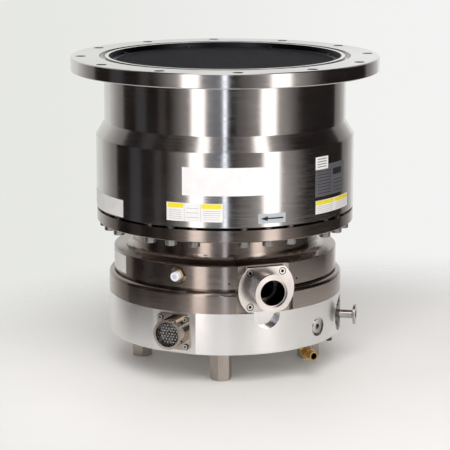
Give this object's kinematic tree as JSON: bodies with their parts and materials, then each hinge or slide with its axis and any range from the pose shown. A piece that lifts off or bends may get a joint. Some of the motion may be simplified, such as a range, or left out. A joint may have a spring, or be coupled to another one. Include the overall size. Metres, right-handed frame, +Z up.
{
  "type": "turbomolecular pump",
  "caption": "Flanged turbomolecular vacuum pump on four hexagonal legs, with an inlet screen, a side exhaust port, a purge port and an electrical connector.",
  "frame": {"origin": "centre of the floor plane under the four legs, on the pump's turning axis", "axes": "+Z up along the turning axis towards the inlet flange; -Y is the front, with the exhaust port to the right of it and the electrical connector to the left"},
  "size_m": [0.4499, 0.45, 0.454],
  "materials": {
    "casing_steel": "turned stainless steel",
    "screen_wire": "dark woven wire",
    "dark_screw_steel": "dark small screws",
    "stator_alloy": "machined",
    "rotor_alloy": "machined, dull plated",
    "screw_steel": "bright",
    "bolt_steel": "knurled, dull",
    "base_casting": "brown-grey plated, satin",
    "seal_rubber": "black",
    "column_alloy": "machined",
    "core_steel": "laminated",
    "copper_wire": "enamelled copper winding",
    "sensor_plastic": "cast resin",
    "bearing_steel": "ground and polished",
    "shaft_steel": "ground",
    "housing_alloy": "satin machined",
    "leg_alloy": "matte, warm grey",
    "port_steel": "polished stainless steel",
    "connector_nickel": "nickel plated",
    "insert_plastic": "dark moulded",
    "contact_gold": "plated contacts",
    "plug_steel": "bright plated",
    "vent_nickel": "nickel plated brass",
    "cap_white": "white moulded",
    "fitting_brass": "bright turned brass",
    "cap_dark": "black cap"
  },
  "bodies": {
    "pump_housing": {"casing": "casing_steel", "inlet_screen": "screen_wire", "screen_screws": "dark_screw_steel", "threaded_stator": "stator_alloy", "base_body": "base_casting", "casing_seal": "seal_rubber", "casing_bolts": "bolt_steel", "bolt_spacers": "bolt_steel", "bearing_column": "column_alloy", "column_screws": "screw_steel", "column_cap": "column_alloy", "lower_radial_magnet": "core_steel", "upper_radial_magnet": "core_steel", "bearing_coils": "copper_wire", "motor_stator": "core_steel", "motor_winding": "copper_wire", "upper_axial_magnet": "core_steel", "lower_axial_magnet": "core_steel", "position_sensors": "sensor_plastic", "lower_outer_race": "bearing_steel", "upper_outer_race": "bearing_steel", "base_housing": "housing_alloy", "base_cover": "housing_alloy", "cover_screws": "screw_steel", "legs": "leg_alloy", "exhaust_port": "port_steel", "purge_port": "port_steel", "port_seals": "seal_rubber", "port_screws": "screw_steel", "connector_shell": "connector_nickel", "connector_insert": "insert_plastic", "connector_pins": "contact_gold", "connector_screws": "screw_steel", "access_plug": "plug_steel", "vent_fitting": "vent_nickel", "vent_cap": "cap_white", "water_inlet": "fitting_brass", "water_outlet": "fitting_brass", "outlet_cap": "cap_dark", "stator_disc_1": "stator_alloy", "stator_disc_2": "stator_alloy", "stator_disc_3": "stator_alloy", "stator_disc_4": "stator_alloy", "stator_disc_5": "stator_alloy", "stator_spacer_1": "stator_alloy", "stator_spacer_2": "stator_alloy", "stator_spacer_3": "stator_alloy", "stator_spacer_4": "stator_alloy", "stator_spacer_5": "stator_alloy", "stator_spacer_6": "stator_alloy"},
    "rotor_group": {"rotor": "rotor_alloy", "rotor_bolts": "screw_steel", "shaft": "shaft_steel", "motor_rotor": "core_steel", "thrust_disc": "shaft_steel", "shaft_nut": "shaft_steel"},
    "lower_race": {"lower_inner_race": "bearing_steel"},
    "upper_race": {"upper_inner_race": "bearing_steel"},
    "lower_ball_set": {"lower_balls": "bearing_steel"},
    "upper_ball_set": {"upper_balls": "bearing_steel"}
  },
  "joints": [
    {"name": "rotor_spin", "type": "hinge", "parent": "pump_housing", "child": "rotor_group", "pos_m": [0, 0, 0.3], "axis": [0, 0, 1], "continuous": true},
    {"name": "lower_race_spin", "type": "hinge", "parent": "pump_housing", "child": "lower_race", "pos_m": [0, 0, 0.132], "axis": [0, 0, 1], "continuous": true},
    {"name": "lower_ball_orbit", "type": "hinge", "parent": "pump_housing", "child": "lower_ball_set", "pos_m": [0, 0, 0.132], "axis": [0, 0, 1], "continuous": true},
    {"name": "upper_race_spin", "type": "hinge", "parent": "pump_housing", "child": "upper_race", "pos_m": [0, 0, 0.37], "axis": [0, 0, 1], "continuous": true},
    {"name": "upper_ball_orbit", "type": "hinge", "parent": "pump_housing", "child": "upper_ball_set", "pos_m": [0, 0, 0.37], "axis": [0, 0, 1], "continuous": true}
  ],
  "couplings": [
    {"joint": "lower_ball_orbit", "follows": "lower_race_spin", "ratio": 0.44338},
    {"joint": "upper_ball_orbit", "follows": "upper_race_spin", "ratio": 0.44338}
  ]
}
